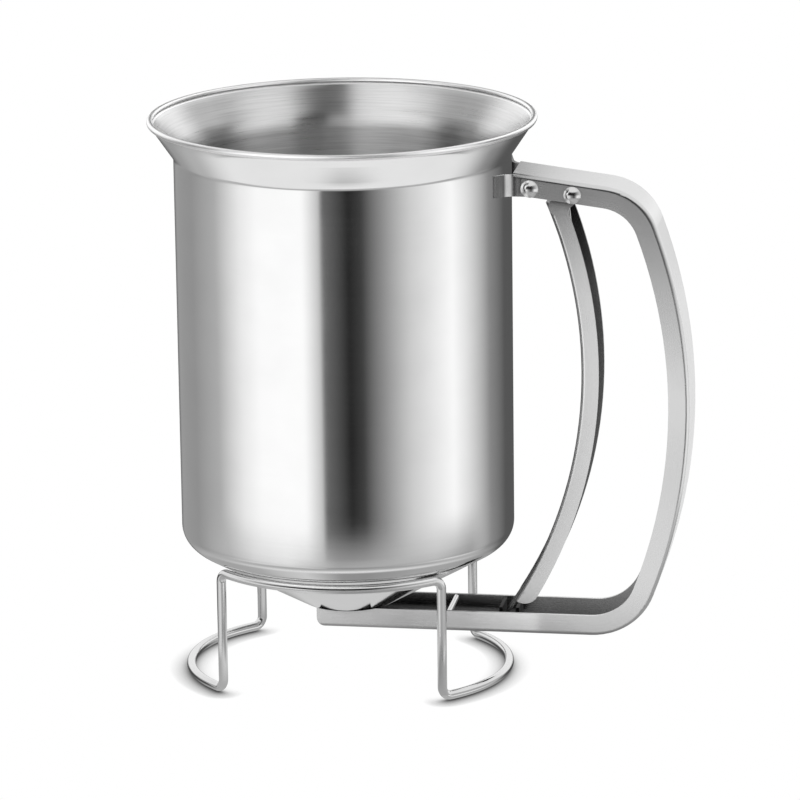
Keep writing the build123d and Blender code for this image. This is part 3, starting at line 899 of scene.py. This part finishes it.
def card(name, sides, y, heights, levels, receivers):
    """A glowing upright card across the view, with levels by height; all lengths are in metres."""
    mesh = bpy.data.meshes.new(name)
    (left, right), (bottom, top) = sides, heights
    mesh.from_pydata(
        [(left, y, bottom), (right, y, bottom), (right, y, top), (left, y, top)], [], [(0, 1, 2, 3)]
    )
    n = Nodes(name)
    first, last = levels[0][0], levels[-1][0]
    share = n.bring(n.spot()[2], first, last)
    stops = [((z - first) / (last - first), level) for z, level in levels]
    n.show(see_through(n, n.glow(ramp(n, share, stops))))
    reflected_only(name, mesh, n.material, receivers)


# Levels by degrees to the right of the camera: the floor round the object, and the floor under it
near_levels = [
    (-172.0, 0.40),
    (-120.0, 0.42),
    (-80.0, 0.55),
    (-60.0, 0.80),
    (-37.0, 0.92),
    (-22.0, 0.70),
    (-6.0, 0.47),
    (25.0, 0.53),
    (55.0, 0.62),
    (78.0, 0.46),
    (107.0, 0.35),
    (165.0, 0.35),
]
floor_ring(
    "floor_ring", radius=0.20, top=0.013, full=-0.001, bottom=-0.035, levels=near_levels, foot_share=0.85
)
beneath_levels = [
    (-170.0, 0.38),
    (-120.0, 0.42),
    (-70.0, 0.45),
    (-55.0, 0.48),
    (-40.0, 0.62),
    (-25.0, 0.72),
    (-14.0, 0.52),
    (-4.0, 0.34),
    (10.0, 0.32),
    (20.0, 0.36),
    (42.0, 0.44),
    (60.0, 0.44),
    (100.0, 0.36),
    (165.0, 0.36),
]
floor_disc("floor_disc", height=0.002, reach=0.085, edge=0.074, axis_level=0.66, levels=beneath_levels)

# The cup's tent: what its wall, the bend inside its mouth, its flare and its lower corner mostly reflect
wall_levels = [
    (-172.0, 0.10),
    (-158.0, 0.36),
    (-125.0, 0.34),
    (-97.0, 0.50),
    (-74.0, 1.02),
    (-60.0, 1.2),
    (-28.0, 1.22),
    (-16.5, 0.66),
    (-14.5, 0.17),
    (3.0, 0.02),
    (12.0, 0.06),
    (26.0, 0.33),
    (45.0, 0.74),
    (78.0, 1.2),
    (90.0, 0.95),
    (116.0, 0.30),
    (140.0, 0.11),
    (165.0, 0.10),
]
middle_levels = [
    (-172.0, 0.2),
    (-164.0, 1.4),
    (-128.0, 1.3),
    (-116.0, 0.8),
    (-106.0, 0.05),
    (-86.0, 0.05),
    (-76.0, 0.4),
    (-63.0, 1.45),
    (-40.0, 1.75),
    (-18.0, 1.5),
    (0.0, 1.3),
    (8.0, 0.8),
    (14.0, 0.05),
    (31.0, 0.02),
    (38.0, 1.1),
    (60.0, 1.5),
    (76.0, 1.4),
    (86.0, 0.5),
    (93.0, 0.02),
    (112.0, 0.02),
    (121.0, 0.6),
    (135.0, 1.4),
    (160.0, 1.5),
    (168.0, 0.24),
]
inside_levels = [
    (-172.0, 0.15),
    (-164.0, 1.0),
    (-120.0, 0.95),
    (-105.0, 0.75),
    (-92.0, 0.55),
    (-77.0, 0.55),
    (-66.0, 1.05),
    (-45.0, 1.25),
    (-20.0, 1.05),
    (-12.0, 0.8),
    (-4.0, 0.1),
    (0.0, 0.0),
    (29.0, 0.0),
    (36.0, 0.6),
    (43.0, 0.95),
    (60.0, 1.15),
    (76.0, 1.15),
    (82.0, 0.3),
    (96.0, 0.25),
    (104.0, 0.9),
    (116.0, 1.25),
    (130.0, 1.4),
    (160.0, 1.3),
    (168.0, 0.15),
]
under_levels = [
    (-170.0, 0.5),
    (-90.0, 0.52),
    (-45.0, 0.45),
    (40.0, 0.42),
    (80.0, 0.5),
    (110.0, 0.5),
    (135.0, 0.34),
    (160.0, 0.10),
    (168.0, 0.5),
]
light_tent(
    "cup_tent", radius=2.4, low=wall_levels, middle=middle_levels, high=inside_levels, under=under_levels,
    below=0.96, clear=True, receivers=[cup],
)

# The other pieces' tent, even above and below
front_levels = [
    (-110.0, 0.08),
    (-95.0, 1.0),
    (-36.0, 0.85),
    (-22.0, 0.32),
    (-8.0, 0.26),
    (-2.0, 0.12),
    (14.0, 0.10),
    (28.0, 0.4),
    (45.0, 1.05),
    (90.0, 1.0),
    (135.0, 0.08),
]
over_levels = [
    (-150.0, 0.95),
    (-90.0, 0.85),
    (-60.0, 0.25),
    (-40.0, 0.02),
    (15.0, 0.02),
    (40.0, 0.3),
    (80.0, 0.85),
    (150.0, 0.95),
]
others = [handle, lever, bracket, stand, spring] + rivets + [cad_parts[node] for node in plain_nodes]
light_tent(
    "other_tent", radius=2.6, low=front_levels, middle=over_levels, high=[(0.0, 0.88)], under=[(0.0, 0.4)],
    below=0.5, clear=False, receivers=others,
)

# Cards for the handle and the lever, with levels by height; two in one plane would hide each other's light
handle_levels = [
    (-0.06, 0.5),
    (-0.015, 0.5),
    (0.003, 0.42),
    (0.035, 0.58),
    (0.05, 0.70),
    (0.063, 0.66),
    (0.072, 0.42),
    (0.085, 0.36),
    (0.098, 0.17),
    (0.115, 0.0),
]
lever_levels = [
    (-0.06, 0.5),
    (0.0, 0.5),
    (0.035, 0.58),
    (0.07, 0.60),
    (0.085, 0.66),
    (0.1, 0.38),
    (0.115, 0.0),
]
arm_levels = [(0.0, 0.4), (0.03, 0.4)]
back_levels = [(-0.30, 0.8), (0.05, 0.85), (0.13, 0.25), (0.20, 0.0)]
front_span = (-0.10, 0.13)
card("handle_card", sides=front_span, y=-0.15, heights=front_span, levels=handle_levels, receivers=[handle])
card("lever_card", sides=front_span, y=-0.16, heights=front_span, levels=lever_levels, receivers=[lever])
for name, y in (("arm_card_front", -0.03), ("arm_card_back", 0.03)):
    card(name, sides=(-0.03, 0.056), y=y, heights=(0.0, 0.03), levels=arm_levels, receivers=[handle])
card(
    "back_card", sides=(0.0, 0.60), y=0.40, heights=(-0.30, 0.30), levels=back_levels,
    receivers=[handle, lever],
)
